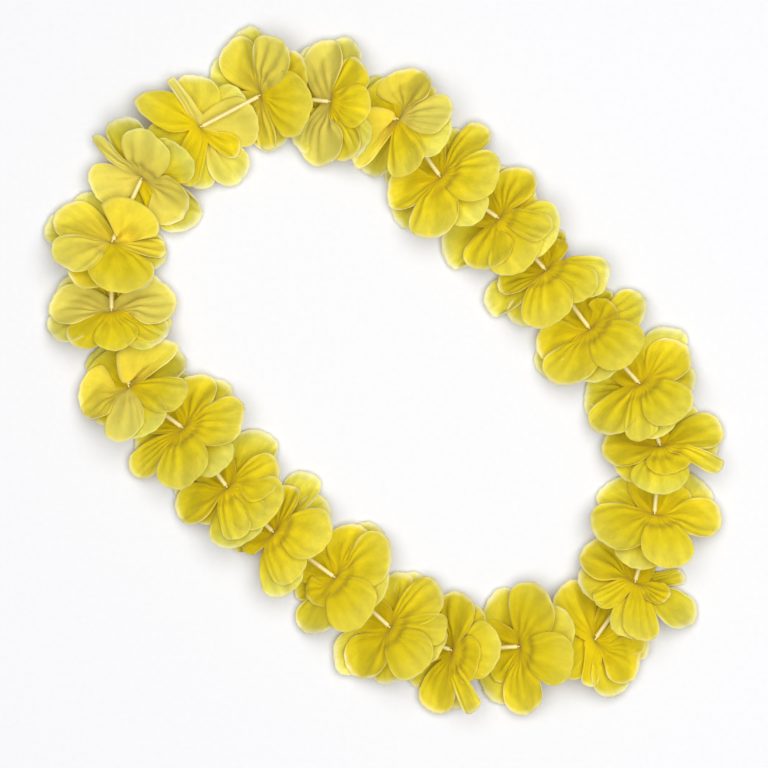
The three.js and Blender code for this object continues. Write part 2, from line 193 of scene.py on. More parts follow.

# Each bloom's petals seen from above, from the lowest in its layer to the topmost: the direction in
# degrees from +X, the reach from the hub and the width. The two sides of the oval mirror each other,
# so a shape is written once, as it lies on the left and lower side. A fourth number is the tone with
# painted light and shade, from -1 for deep gold, partly painted shade, to 1 for pale lemon, partly
# painted light, and a fifth tapers the tip.
SHAPES = {
    "first": dict(
        front=[
            (17, 35, 18, -0.4), (262, 34, 30, 0.7), (301, 27, 16), (114, 41, 25, -0.4, 1.2), (148, 34, 6, 1),
        ],
        back=[(60, 33, 30), (235, 32, 26, 0.4), (176, 31, 30, 0.3), (0, 36, 18), (322, 39, 28, 0.7)],
    ),
    "last": dict(
        front=[
            (292, 26, 12, -1), (190, 31, 27, 0.9), (322, 33, 32, 0.8), (139, 38, 9, 1, 1), (74, 27, 31, 0.8),
        ],
        back=[(107, 36, 27), (262, 32, 30), (200, 29, 26), (320, 41, 34), (30, 32, 30)],
    ),
    "second": dict(
        front=[
            (352, 32, 13, 0.3), (286, 31, 38, -0.3), (150, 37, 28, 0.3),
            (202, 34, 28, 0.6), (45, 31, 32, 0.3),
        ],
        back=[(235, 31, 26, -1), (300, 32, 26), (112, 33, 28), (166, 41, 25), (345, 33, 28)],
    ),
    "third": dict(
        front=[
            (225, 28, 24, -0.3), (338, 35, 22, -0.3), (172, 36.5, 28, 0.9), (8, 38, 30, 0.9), (283, 23, 26),
        ],
        back=[(90, 32, 26), (145, 34, 26), (199, 39, 25, 0.5), (325, 36, 26), (40, 33, 26)],
    ),
    "fourth": dict(
        front=[(135, 26, 28), (348, 33, 24), (268, 30.5, 25, 0.9), (53, 36, 24, 0.4), (198, 31, 36, 0.4)],
        back=[(130, 31, 26), (30, 37, 28), (297, 35, 30), (195, 29, 24), (240, 27, 24)],
    ),
    "fifth": dict(
        front=[(150, 30, 28), (222, 40, 20), (72, 33, 29), (4, 37, 31), (276, 35, 33)],
        back=[(45, 36.5, 28), (188, 29, 28), (318, 34, 26), (250, 30, 26), (110, 32, 28)],
    ),
    "sixth": dict(
        front=[(125, 30, 28), (207, 33.5, 27), (332, 40, 36), (287, 31, 18), (14, 31.5, 30)],
        back=[(165, 30, 28), (350, 30, 26), (235, 26, 26), (55, 39.5, 30), (292, 42, 38)],
    ),
    "seventh": dict(
        front=[(150, 28, 26), (196, 20, 20), (75, 29, 22), (297, 30, 24), (354, 37, 32)],
        back=[(130, 32, 26), (185, 24, 22), (20, 35, 28), (58, 41, 24), (283, 41, 27)],
    ),
    "eighth": dict(
        front=[(150, 28, 26), (225, 20, 24), (68, 33, 28), (23, 36.5, 33), (305, 33.5, 33)],
        back=[(130, 32, 26), (190, 24, 24), (48, 39, 26), (247, 36.5, 27), (342, 32, 34)],
    ),
    "ninth": dict(
        front=[(150, 28, 26), (232, 35, 30), (37, 37, 27), (358, 34.5, 19), (311, 36, 30)],
        back=[(272, 32, 26), (62, 35.5, 22), (85, 32, 25), (212, 39, 26), (340, 33, 26)],
    ),
    "tenth": dict(
        front=[(160, 28, 26), (252, 38.5, 24), (84, 34, 26), (332, 18, 28), (292, 38, 12)],
        back=[(120, 33, 26), (205, 30, 26), (50, 29, 26), (275, 34.5, 24), (2, 28.5, 34)],
    ),
    "eleventh": dict(
        front=[(170, 26, 24), (225, 24, 20), (277, 40, 27), (68, 36.5, 33), (345, 38, 31)],
        back=[(170, 28, 26), (237, 35, 29), (25, 33, 28), (118, 34, 29), (300, 24, 26)],
    ),
    "twelfth": dict(
        front=[(190, 26, 24), (64, 25, 14), (123, 36, 28), (356, 38, 22), (302, 21, 18)],
        back=[(165, 29, 26), (262, 30, 11), (85, 32, 28), (10, 33, 24), (305, 42, 25)],
    ),
    "thirteenth": dict(
        front=[(262, 27, 11), (117, 37, 26), (50, 31, 26), (10, 30, 26), (322, 32, 29)],
        back=[(215, 28, 26), (145, 30, 26), (85, 31, 26), (2, 32, 26), (292, 35.5, 27)],
    ),
}

# A petal that rises beside the straw and folds over it: the directions its foot lies between, the
# direction and the reach of its middle, its two far corners, along that middle and across it, how
# steeply it climbs outwards, and how much its near side swings past the straw and back to the hub.
FLAPS = {
    "covering": dict(
        foot=(4, 46), seen=48, reach=29, corners=((20, -16.5), (12.5, 19.3)), slope=0, swing=(0, 0),
    ),
    "folded": dict(
        foot=(34, 79), seen=46, reach=37, corners=((27, -6), (9, 19)), slope=0.12, swing=(15, -27),
    ),
}

# One row per bloom, round the ring: where its centre lies, which way its raised side leans along
# the ring (1 to the next bloom, -1 to the last) and that side's tilt in degrees. Where a row has
# them, rear is the tilt of the low side, over is 1 where that side lies on a neighbouring bloom,
# flap is the front petal that folds over the straw, and the tone, partly painted light and shade,
# is added to its petals' own.
BLOOMS = [
    dict(at=(-106, 141), lean=-1, tilt=14, rear=22, over=1, shape="first", mirrored=True),
    dict(at=(-70, 160), lean=1, tilt=34, shape="second", mirrored=True),
    dict(at=(-29.5, 156), lean=1, tilt=34, shape="third", mirrored=True),
    dict(at=(10, 145.5), lean=1, tilt=40, shape="fourth", mirrored=True, flap=(3, "folded")),
    dict(at=(34, 112), lean=1, tilt=34, shape="fifth", mirrored=True),
    dict(at=(68, 88), lean=1, tilt=34, shape="sixth", mirrored=True, tone=-0.1),
    dict(at=(95, 58), lean=1, tilt=34, shape="seventh", mirrored=True, tone=-0.15),
    dict(at=(120.5, 24), lean=1, tilt=34, shape="eighth", mirrored=True, tone=-0.15),
    dict(at=(149.5, -8), lean=1, tilt=34, shape="ninth", mirrored=True),
    dict(at=(161, -44), lean=1, tilt=34, shape="tenth", mirrored=True),
    dict(at=(157.5, -83.5), lean=1, tilt=34, shape="eleventh", mirrored=True, tone=-0.2),
    dict(at=(146, -123), lean=1, tilt=34, shape="twelfth", mirrored=True, tone=-0.35),
    dict(at=(122.5, -156), lean=1, tilt=14, rear=34, shape="thirteenth", tone=-0.45),
    dict(at=(80, -159.5), lean=-1, tilt=32, rear=34, shape="eleventh", tone=-0.45),
    dict(at=(41, -162), lean=-1, tilt=34, shape="tenth", tone=-0.4),
    dict(at=(5, -149), lean=-1, tilt=34, shape="ninth", tone=-0.3),
    dict(at=(-27, -120), lean=-1, tilt=34, shape="eighth", tone=-0.3),
    dict(at=(-62.5, -94), lean=-1, tilt=34, shape="seventh"),
    dict(at=(-89.5, -68), lean=-1, tilt=34, shape="sixth"),
    dict(at=(-115, -33.5), lean=-1, tilt=34, shape="fifth"),
    dict(at=(-146.5, -10), lean=-1, tilt=40, shape="fourth", flap=(3, "folded")),
    dict(at=(-157, 34), lean=-1, tilt=34, shape="third"),
    dict(at=(-157, 74), lean=-1, tilt=34, shape="second", flap=(4, "covering")),
    dict(at=(-139, 112.5), lean=1, tilt=40, rear=22, over=1, shape="last"),
]
COUNT = len(BLOOMS)
FIRST_SEED = 100
AIM_ROUNDS = 12
AIM_STEP = (0.8, 1.25)
WHOLE_TURN = 2 * math.pi
COLUMNS = np.linspace(-1, 1, SIDE_STEPS)
UP = np.array((0.0, 0.0, 1.0))
NEARLY_UP = UP + 0.001
HUBS = [np.array((b["at"][0] - CENTRE[0], b["at"][1] - CENTRE[1], THREAD_HEIGHT), float) for b in BLOOMS]


def off_thread(x, y):
    """How far a place lies from the thread, seen from above."""
    nearest = np.full(np.shape(x), np.inf)
    for a, b in zip(HUBS, HUBS[1:] + HUBS[:1]):
        run, rise = b[0] - a[0], b[1] - a[1]
        t = np.clip(((x - a[0]) * run + (y - a[1]) * rise) / (run**2 + rise**2), 0, 1)
        nearest = np.minimum(nearest, np.hypot(x - a[0] - t * run, y - a[1] - t * rise))
    return nearest


def smooth(low, high, x):
    """0 up to the low place, 1 from the high place on, and a smooth change between them."""
    k = np.clip((x - low) / (high - low), 0, 1)
    return k * k * (3 - 2 * k)


def round_side(v):
    """1 on a petal's middle line, falling off to 0 at its sides as a circle's edge does."""
    return np.maximum(np.cos(v * math.pi / 2), 0)


def wave(chance, waves, v):
    """A sine with a random number of waves and a random phase."""
    return np.sin(chance.uniform(*waves) * v + chance.uniform(*PHASES))


def unit(v):
    return v / np.linalg.norm(v, axis=-1, keepdims=True)


def ring_direction(k):
    """The thread's level direction at a hub, on round the ring."""
    onward = unit(HUBS[(k + 1) % COUNT] - HUBS[k])
    before = unit(HUBS[k] - HUBS[k - 1])
    return unit(onward + before)


class Bloom:
    """A bloom's own axes, and its petals sorted round it, in a front and a back layer."""

    def __init__(self, k):
        row = BLOOMS[k]
        self.hub = HUBS[k]
        self.lean = ring_direction(k) * row["lean"]
        self.left = np.cross(UP, self.lean)
        self.heading = math.atan2(self.lean[1], self.lean[0])
        self.tilt = math.radians(row["tilt"])
        self.rear = math.radians(row.get("rear", row["tilt"]))
        self.over = row.get("over", 0)
        self.mirrored = row.get("mirrored", False)
        self.side = -1 if self.mirrored else 1
        self.tone = row.get("tone", 0)
        self.flap = row.get("flap", (None, None))
        straw_hub = HUBS[(k - row["lean"]) % COUNT]
        self.straw = self.turned(straw_hub[:2] - self.hub[:2])
        self.chance = np.random.default_rng(FIRST_SEED + k)
        shape = SHAPES[row["shape"]]
        self.layers = [self.petals(layer, shape[side]) for layer, side in enumerate(("front", "back"))]

    def turned(self, level):
        """The direction of a level step, from the lean."""
        return math.atan2(level[1], level[0]) - self.heading

    def aim(self, seen):
        """A direction of the petal table, in radians from the lean."""
        return math.radians(-90 - seen if self.mirrored else seen) - self.heading

    def petals(self, layer, rows):
        """A layer's petals in order round the hub, each with its sides and how many lie under it."""
        found = [self.petal(layer, rank, row) for rank, row in enumerate(rows)]
        found.sort(key=lambda petal: petal["turn"])
        beside = [(found[i - 1], found[(i + 1) % PETAL_COUNT]) for i in range(PETAL_COUNT)]
        for petal, (before, after) in zip(found, beside):
            petal["before"] = ((before["turn"] - petal["turn"]) % WHOLE_TURN - WHOLE_TURN) / 2
            petal["after"] = ((after["turn"] - petal["turn"]) % WHOLE_TURN) / 2
            petal["feet"] = (NOTCH, NOTCH)
        for petal, (before, after) in zip(found, beside):
            if "flap" in petal:
                self.set_foot(layer, petal, before, after)
        for petal, neighbours in sorted(zip(found, beside), key=lambda pair: pair[0]["rank"]):
            lower = [one["level"] + 1 for one in neighbours if one["rank"] < petal["rank"]]
            petal["level"] = max(lower, default=0)
        return found

    def petal(self, layer, rank, row):
        """One petal from its row of the table. A folded one starts as a stub between its feet."""
        seen, reach, width, *look = row
        tone, taper = (*look, 0, 0)[:2]
        if layer == 0 and rank == self.flap[0]:
            flap = FLAPS[self.flap[1]]
            petal = self.aimed(layer, self.aim(sum(flap["foot"]) / 2), NOTCH, width)
            petal["flap"] = flap
        else:
            petal = self.aimed(layer, self.aim(seen), reach, width)
        petal.update(rank=rank, tone=tone + self.tone, taper=taper)
        return petal

    def set_foot(self, layer, petal, before, after):
        """Sets a folded petal's sides, and its neighbours' sides next to it, to its foot."""
        ends = [self.aimed(layer, self.aim(seen), FLAP_FOOT, 1)["turn"] for seen in petal["flap"]["foot"]]
        low, high = ends[::-1] if self.mirrored else ends
        petal["before"] = (low - petal["turn"]) % WHOLE_TURN - WHOLE_TURN
        petal["after"] = (high - petal["turn"]) % WHOLE_TURN
        before["after"] = (low - before["turn"]) % WHOLE_TURN
        after["before"] = (high - after["turn"]) % WHOLE_TURN - WHOLE_TURN
        if math.cos(high - self.straw) > math.cos(low - self.straw):
            petal["feet"] = (NOTCH, FLAP_FOOT)
            after["feet"] = (FLAP_FOOT, after["feet"][1])
        else:
            petal["feet"] = (FLAP_FOOT, NOTCH)
            before["feet"] = (before["feet"][0], FLAP_FOOT)

    def aimed(self, layer, aim, reach, width):
        """A petal's turn, length and half width in its own tilted layer, found so that its tip is
        seen from above in the given direction and at the given reach."""
        turn, length = aim, reach
        goal = reach * np.array((math.cos(aim), math.sin(aim)))
        for _ in range(AIM_ROUNDS):
            along, across, _, _ = self.sheet(layer, turn, length, 0.0)
            turn += math.atan2(goal[1], goal[0]) - math.atan2(across, along)
            turn = math.atan2(math.sin(turn), math.cos(turn))
            length *= float(np.clip(reach / np.hypot(along, across), *AIM_STEP))
        tilt = self.tilt if math.cos(turn) > 0 else self.rear
        seen_width = math.hypot(math.cos(turn), math.sin(turn) * math.cos(tilt))
        return dict(turn=turn % WHOLE_TURN, length=min(length, LONGEST), half=width / seen_width / 2)

    def sheet(self, layer, turn, radius, aside):
        """The middle surface of a layer at a turn and a radius in it: how far along the lean, how
        far across it and how high, and the way the sheet faces there, along and up."""
        grown = smooth(NOTCH, PETAL_LENGTH, radius)
        rise = CUP * grown * (aside / PETAL_LENGTH / CUP_REACH) ** 2
        settle = HUB_BEND * (1 - np.exp(-radius / HUB_BEND))
        fade = np.exp(-radius / HUB_BEND)
        tilt = self.rear + (self.tilt - self.rear) * smooth(*TILT_CHANGE, np.cos(turn))
        forward = np.cos(tilt) * (radius - settle)
        upward = np.sin(tilt) * radius + (1 - np.sin(tilt)) * settle
        nx = -(np.sin(tilt) + (1 - np.sin(tilt)) * fade)
        nz = np.cos(tilt) * (1 - fade)
        size = np.hypot(nx, nz)
        nx, nz = nx / size, nz / size
        clear = np.maximum(radius - HUB_RADIUS, 0)
        parting = LAYER_PART * (1 - np.exp(-clear / HUB_BEND)) + LAYER_SPREAD * clear
        share = -FRONT_SHARE if layer == 0 else 1 - FRONT_SHARE
        gap = (-LAYER_GAP if layer == 0 else LAYER_GAP) / 2 + share * parting
        along = np.cos(turn) * forward + nx * (rise - gap)
        across = np.sin(turn) * radius
        z = THREAD_HEIGHT + np.cos(turn) * upward + nz * (rise - gap)
        z = z - SIDE_DROOP * (np.abs(across) / PETAL_LENGTH) ** 2 - TIP_DROOP * (radius / PETAL_LENGTH) ** 2
        return along, across, z, (nx, nz)

    def laid(self, layer, along, z, facing, radius, relief, grown):
        """Lifts the cloth by its relief, and keeps it above the table or the petals it lies on."""
        overlay = OVERLAY * smooth(*OVERLAY_SPAN, -along) + OVERLAY_RISE * smooth(*OVERLAY_RISE_SPAN, -along)
        floor = CLOTH / 2 + (FRONT_FLOOR if layer == 0 else 0) + self.over * overlay
        floor = floor + RIM_RISE * smooth(RIM_RISE_START, PETAL_LENGTH, radius)
        over = z - floor
        bow = np.hypot(over, FLOOR_SOFTNESS)
        free = (1 + over / bow) / 2
        z = floor + np.maximum((over + bow) / 2 - FLOOR_SINK, 0)
        pressed = np.maximum(relief, 0) + STACK * STACK_ON_FLOOR
        nx, nz = facing
        return along + nx * relief * free, z + nz * relief * free + pressed * (1 - free) * grown


def folded_over(bloom, flap, along, across, z, v, u):
    """The middle surface of a petal that folds over the straw, from its foot on the layer."""
    w = bloom.side * v
    near = smooth(*FLAP_NEAR_SIDE, w)
    (near_out, low), (far_out, high) = flap["corners"]
    out = near_out + (far_out - near_out) * (w + 1) / 2
    out = out + (flap["reach"] - (near_out + far_out) / 2) * round_side(v) ** TIP_FULLNESS
    aside = bloom.side * np.where(w < 0, low, high) * np.abs(np.sin(v * math.pi / 2))
    axis = bloom.aim(flap["seen"])
    end_along = np.cos(axis) * out - np.sin(axis) * aside
    end_across = np.sin(axis) * out + np.cos(axis) * aside

    share = u[:, DISC_STEPS:] ** (1 + FLAP_LAG * near)
    rise = smooth(0, FLAP_LIFTED - FLAP_LIFTED_SOONER * near, u[:, DISC_STEPS:])
    past, back = flap["swing"]
    sideways = past * bloom.side * near * share * (1 - share)
    outwards = back * near * share * (1 - share)
    straw_along, straw_across = math.cos(bloom.straw), math.sin(bloom.straw)
    foot_along, foot_across, foot_z = (one[:, DISC_STEPS : DISC_STEPS + 1] for one in (along, across, z))
    new_along = foot_along + (end_along - foot_along) * share
    new_along = new_along + outwards * straw_along - sideways * straw_across
    new_across = foot_across + (end_across - foot_across) * share
    new_across = new_across + outwards * straw_across + sideways * straw_along

    off_straw = new_across * straw_along - new_along * straw_across
    top = THREAD_HEIGHT + FLAP_RISE - FLAP_DROOP * off_straw**2
    top = top + flap["slope"] * np.maximum(np.hypot(new_along, new_across) - FLAP_FOOT, 0)
    new_z = foot_z + (top - foot_z) * rise
    pairs = ((along, new_along), (across, new_across), (z, new_z))
    return [np.concatenate([old[:, :DISC_STEPS], new], axis=1) for old, new in pairs]


def petal_outline(petal, v, u, foot, chance):
    """A petal laid flat, along its middle line and across it, with a wavy cut tip."""
    length, half = petal["length"], petal["half"]
    widest = max(length - half * (TIP_ROUND + petal["taper"]), WIDEST_LEAST * length)
    cut = 1
    for share, *waves in TIP_WAVES:
        cut = cut + share * wave(chance, waves, v) * (1 - v**4)
    fullness = TIP_FULLNESS + TAPER_FULLNESS * petal["taper"]
    tip = widest + (length - widest) * round_side(v) ** fullness * cut
    side = half * np.sin(v * math.pi / 2)
    swell = np.sin(u * math.pi / 2) ** SWELL
    off = np.where(v < 0, -v * petal["before"], v * petal["after"])
    inner = BORE_RADIUS + (foot - BORE_RADIUS) * (np.arange(DISC_STEPS) / DISC_STEPS)[None, :]
    s = foot * np.cos(off) * (1 - u) + tip * u
    t = foot * np.sin(off) * (1 - swell) + side * swell
    s = np.concatenate([inner * np.cos(off), s], axis=1)
    t = np.concatenate([inner * np.sin(off), t], axis=1)
    return s, t


def petal_relief(petal, v, u, radius, grown, chance):
    """How far pleats, a ruffled edge, curl, twist and the petals below lift a petal off its layer,
    and how deep in a pleat each place lies."""
    body = 1 - v**4
    pleated = smooth(*PLEAT_START, radius) * (1 - PLEAT_FADE * smooth(*PLEAT_FADE_SPAN, u)) * body
    count = chance.uniform(*PLEATS)
    place = v + PLEAT_DRIFT * np.sin(PLEAT_DRIFT_WAVES * v + chance.uniform(*PHASES))
    place = place + PLEAT_SWAY * np.sin(PLEAT_SWAY_WAVES * u + chance.uniform(*PHASES))
    crease = (1 - 2 * np.abs(np.sin(math.pi * count * place / 2 + chance.uniform(*PHASES)))) * pleated
    pleats = PLEAT_HEIGHT * chance.uniform(*PLEAT_SHARE) * crease
    ruffle = RUFFLE * wave(chance, RUFFLE_WAVES, v) * smooth(*OUTER_HALF, u) * body
    bend = CURL * chance.uniform(-1, 1) * smooth(*OUTER_HALF, u) ** 2
    twist = TWIST * chance.uniform(-1, 1) * v * smooth(*TWIST_SPAN, u)
    return pleats + ruffle + (bend + twist + STACK * petal["level"]) * grown, crease


def petal_patch(bloom, layer, i):
    """One petal's share of its layer, as columns from notch to notch and rows outwards from the
    bore: its points, and what its colours need."""
    petal = bloom.layers[layer][i]
    chance = bloom.chance
    v = COLUMNS[:, None]
    u = np.linspace(0, 1, REACH_STEPS)[None, :]
    foot = petal["feet"][0] + (petal["feet"][1] - petal["feet"][0]) * (v + 1) / 2
    s, t = petal_outline(petal, v, u, foot, chance)
    u = np.concatenate([np.zeros((1, DISC_STEPS)), u], axis=1)
    radius = np.hypot(s, t)
    turn = petal["turn"] + np.arctan2(t, s)
    along, across, z, facing = bloom.sheet(layer, turn, radius, t)
    reach, broad = petal["length"], petal["half"]
    if "flap" in petal:
        along, across, z = folded_over(bloom, petal["flap"], along, across, z, v, u)
        radius = np.hypot(along, across)
        facing = (0, 1)
        (_, low), (_, high) = petal["flap"]["corners"]
        reach, broad = petal["flap"]["reach"], (high - low) / 2

    grown = smooth(NOTCH, NOTCH + RELIEF_GROWTH, radius)
    relief, crease = petal_relief(petal, v, u, radius, grown, chance)
    along, z = bloom.laid(layer, along, z, facing, radius, relief, grown)
    level = bloom.hub[None, None, :2] + along[..., None] * bloom.lean[:2] + across[..., None] * bloom.left[:2]
    rim = np.minimum((1 - u) * (reach - foot), (1 - np.abs(v)) * broad * SIDE_RIM + NO_RIM * (u <= 0))
    data = dict(
        outer=smooth(*OUTER_SPAN, off_thread(level[..., 0], level[..., 1])),
        crease=crease,
        reach=radius / PETAL_LENGTH,
        rim=rim * MM,
        fan=i + v * FAN_HALF,
        tint=chance.uniform(0, 1),
        tone=petal["tone"],
    )
    data = {key: np.broadcast_to(value, s.shape) for key, value in data.items()}
    cloth = [radius * np.cos(turn), radius * np.sin(turn), np.full_like(radius, LAYER_SHIFT * layer)]
    return np.concatenate([level, z[..., None]], axis=-1), data, np.stack(cloth, -1) * MM


def band(first, second):
    """Quads between two closed rows of vertex numbers."""
    return np.stack([first, second, np.roll(second, -1), np.roll(first, -1)], axis=-1).reshape(-1, 4)


def skin(grid):
    """Quads over a grid of vertex numbers."""
    first, after = grid[:-1], grid[1:]
    return np.stack([first[:, :-1], first[:, 1:], after[:, 1:], after[:, :-1]], axis=-1).reshape(-1, 4)


def closed_skin(grid):
    """Quads over a grid of vertex numbers that closes on itself in its first direction."""
    return skin(np.concatenate([grid, grid[:1]]))


def build_mesh(name, points, faces, attributes=(), slots=None, smooth_shading=True):
    """A mesh object from lists of points and faces, with its attributes and its faces' slots."""
    mesh = bpy.data.meshes.new(name)
    mesh.from_pydata((np.asarray(points) * MM).tolist(), [], faces)
    for key, kind, values in attributes:
        layer = mesh.attributes.new(key, kind, "POINT")
        field = "vector" if kind == "FLOAT_VECTOR" else "value"
        layer.data.foreach_set(field, np.asarray(values, np.float32).ravel())
    if slots is not None:
        mesh.polygons.foreach_set("material_index", np.asarray(slots, np.int32))
    mesh.polygons.foreach_set("use_smooth", [smooth_shading] * len(mesh.polygons))
    mesh.update()
    piece = bpy.data.objects.new(name, mesh)
    bpy.context.scene.collection.objects.link(piece)
    return piece


def layer_sheet(bloom, layer):
    """A layer's five patches, joined round the hub: the points of both faces, what the colours
    need, and each patch's vertex numbers, the same for both faces."""
    patches = [petal_patch(bloom, layer, i) for i in range(PETAL_COUNT)]
    mid = np.stack([patch[0] for patch in patches])
    data = {key: np.stack([patch[1][key] for patch in patches]) for key in patches[0][1]}
    cloth = np.stack([patch[2] for patch in patches])
    normal = unit(np.cross(np.gradient(mid, axis=2), np.gradient(mid, axis=1)))
    joined = slice(0, DISC_STEPS + 1)
    shared = unit(normal[:, 0, joined] + np.roll(normal, 1, axis=0)[:, -1, joined])
    normal[:, 0, joined] = shared
    normal[:, -1, joined] = np.roll(shared, -1, axis=0)
    normal[:, :, 0] = -bloom.lean
    numbers = np.arange(mid[..., 0].size).reshape(mid.shape[:3])
    numbers[:, -1, joined] = np.roll(numbers[:, 0, joined], -1, axis=0)
    faces = [mid + side * normal * CLOTH / 2 for side in (1, -1)]
    for face in faces:
        face[..., 2] = np.maximum(face[..., 2], 0)
    return faces, data, cloth, numbers


def rim_loop(numbers):
    """The vertex numbers round a layer's edge, up one side of each petal and down the other."""
    loop = []
    for patch in numbers:
        loop += [patch[0, DISC_STEPS:], patch[1:, -1], patch[-1, -2:DISC_STEPS:-1]]
    return np.concatenate(loop)


def ring_loop(numbers, row):
    """The vertex numbers of one ring round the hub."""
    return np.concatenate([patch[:-1, row] for patch in numbers])


def layer_skin(numbers, row):
    """Quads over a layer's patches, from one ring round the hub outwards."""
    return np.concatenate([skin(patch[:, row:]) for patch in numbers])


def bloom_piece(k):
    """One bloom as one closed skin: over the front layer, round its edge and under it to the hub,
    out over the back layer, round, and back through the bore."""
    bloom = Bloom(k)
    points, data, cloth, grids = [], [], [], []
    count = 0
    for layer in (0, 1):
        faces, layer_data, layer_cloth, numbers = layer_sheet(bloom, layer)
        for face in faces:
            points.append(face.reshape(-1, 3))
            data.append(layer_data)
            cloth.append(layer_cloth.reshape(-1, 3))
            grids.append(count + numbers)
            count += numbers.size
    over_front, under_front, over_back, under_back = grids
    bore, neck = 0, 1
    parts = [
        (layer_skin(over_front, bore), 0),
        (band(rim_loop(over_front), rim_loop(under_front)), 0),
        (layer_skin(under_front, neck)[:, ::-1], 0),
        (band(ring_loop(under_front, neck), ring_loop(over_back, neck)), 1),
        (layer_skin(over_back, neck), 1),
        (band(rim_loop(over_back), rim_loop(under_back)), 1),
        (layer_skin(under_back, bore)[:, ::-1], 1),
        (band(ring_loop(under_back, bore), ring_loop(over_front, bore)), 1),
    ]
    faces = np.concatenate([quads for quads, _ in parts])
    slots = np.concatenate([np.full(len(quads), slot) for quads, slot in parts])
    points = np.concatenate(points)
    used = np.unique(faces)
    renumber = np.zeros(len(points), int)
    renumber[used] = np.arange(len(used))
    attributes = [
        (key, "FLOAT", np.concatenate([one[key].ravel() for one in data])[used]) for key in data[0]
    ]
    attributes.append(("cloth", "FLOAT_VECTOR", np.concatenate(cloth)[used]))
    return build_mesh(f"petals_{k + 1:02d}", points[used], renumber[faces].tolist(), attributes, slots)


def seat(k, j, room):
    """Where a spacer starts, out from hub k towards hub j, clear of the hub."""
    out = unit(HUBS[j] - HUBS[k])
    turned = np.linalg.norm(np.cross(out, ring_direction(k)))
    return HUBS[k] + out * (HUB_HALF + SPACER_SEAT + SPACER_RADIUS * turned + room)


def straw_piece(k):
    """A cut length of ribbed drinking straw: an open tube with a wall."""
    j = (k + 1) % COUNT
    start = seat(k, j, 0)
    end = seat(j, k, KNOT_ROOM if j == 0 else 0)
    length = np.linalg.norm(end - start)
    axis = unit(end - start)
    side = unit(np.cross(axis, UP))
    top = np.cross(side, axis)
    turns = np.linspace(0, WHOLE_TURN, STRAW_SIDES, endpoint=False)[:, None]
    ribs = max(round(length / RIB_PITCH), 1)
    places = np.linspace(0, length, ribs * RIB_STEPS + 1)
    groove = (1 + np.cos(WHOLE_TURN * places * ribs / length)) / 2
    outline = list(zip(places, SPACER_RADIUS - RIB_HEIGHT * groove))
    outline += [(length, SPACER_BORE), (0, SPACER_BORE)]
    ring = np.cos(turns) * side + np.sin(turns) * top
    points = [start + axis * place + radius * ring for place, radius in outline]
    grid = np.arange(len(outline) * STRAW_SIDES).reshape(len(outline), STRAW_SIDES).T
    faces = closed_skin(np.concatenate([grid, grid[:, :1]], axis=1)).tolist()
    run = np.repeat([place for place, _ in outline], STRAW_SIDES) * MM
    return build_mesh(f"straw_{k + 1:02d}", np.concatenate(points), faces, [("run", "FLOAT", run)])


def tube(points, radius):
    """The vertices, faces and run length of a tube along a line of points, with flat ends."""
    points = np.asarray(points, float)
    ahead = unit(np.gradient(points, axis=0))
    side = unit(np.cross(ahead, NEARLY_UP))
    top = np.cross(side, ahead)
    turns = np.linspace(0, WHOLE_TURN, THREAD_SIDES, endpoint=False)[None, :, None]
    ring = np.cos(turns) * side[:, None] + np.sin(turns) * top[:, None]
    verts = (points[:, None] + radius * ring).reshape(-1, 3)
    grid = np.arange(len(points) * THREAD_SIDES).reshape(len(points), THREAD_SIDES).T
    faces = closed_skin(grid).tolist() + [grid[:, 0].tolist(), grid[::-1, -1].tolist()]
    run = np.concatenate([[0], np.cumsum(np.linalg.norm(np.diff(points, axis=0), axis=1))])
    return verts, faces, np.repeat(run, THREAD_SIDES) * MM


def thread_route(knot):
    """The thread's line, from beside its knot straight through every hub and back to the knot."""
    hubs = [HUBS[k] + ring_direction(k) * reach for k in range(COUNT) for reach in (-HUB_HALF, HUB_HALF)]
    start, end = (knot + (hub - knot) * KNOT_END for hub in (hubs[0], hubs[-1]))
    line = [start]
    for a, b in zip(hubs, hubs[1:] + [end]):
        steps = max(int(np.linalg.norm(b - a) / THREAD_STEP), 1)
        line += [a + (b - a) * t for t in np.arange(steps) / steps]
    return line + [end]


def thread_piece():
    """The thread, tied beside the first hub in a trefoil with two cut ends."""
    knot = seat(0, COUNT - 1, KNOT_ROOM / 2 - SPACER_SEAT)
    away = unit(HUBS[0] - knot)
    side = np.cross(UP, away)
    t = np.linspace(0, WHOLE_TURN, KNOT_STEPS, endpoint=False)[:, None]
    trefoil = KNOT_SIZE * ((np.sin(t) + 2 * np.sin(2 * t)) * side + (np.cos(t) - 2 * np.cos(2 * t)) * UP)
    trefoil = trefoil - KNOT_DEPTH * np.sin(3 * t) * away
    s = np.linspace(0, 1, TAIL_STEPS + 1)[:, None]
    tails = [knot + s * np.array((slant * TAIL_LENGTH, slant, -TAIL_LENGTH)) for slant in (-0.5, 0.5)]
    points, faces, runs = [], [], []
    for path in (thread_route(knot), knot + trefoil, *tails):
        verts, quads, run = tube(path, THREAD_RADIUS)
        start = sum(len(p) for p in points)
        points.append(verts)
        faces += [[start + v for v in face] for face in quads]
        runs.append(run)
    return build_mesh("cord", np.concatenate(points), faces, [("run", "FLOAT", np.concatenate(runs))])


def linear(*shade):
    """A colour of the photograph, 0 to 255, as a shader's colour."""
    return tuple((c / 255) ** GAMMA for c in shade) + (1.0,)


# The pale lemon and the deep gold of the tone: partly the cloth's own tone, partly painted light on petals
# that rise towards the lamp or let it through over the table, and painted shade on those that lie in shade.
PALE_TONE_AND_LIGHT = linear(240, 234, 140)
DEEP_TONE_AND_SHADE = linear(228, 206, 8)


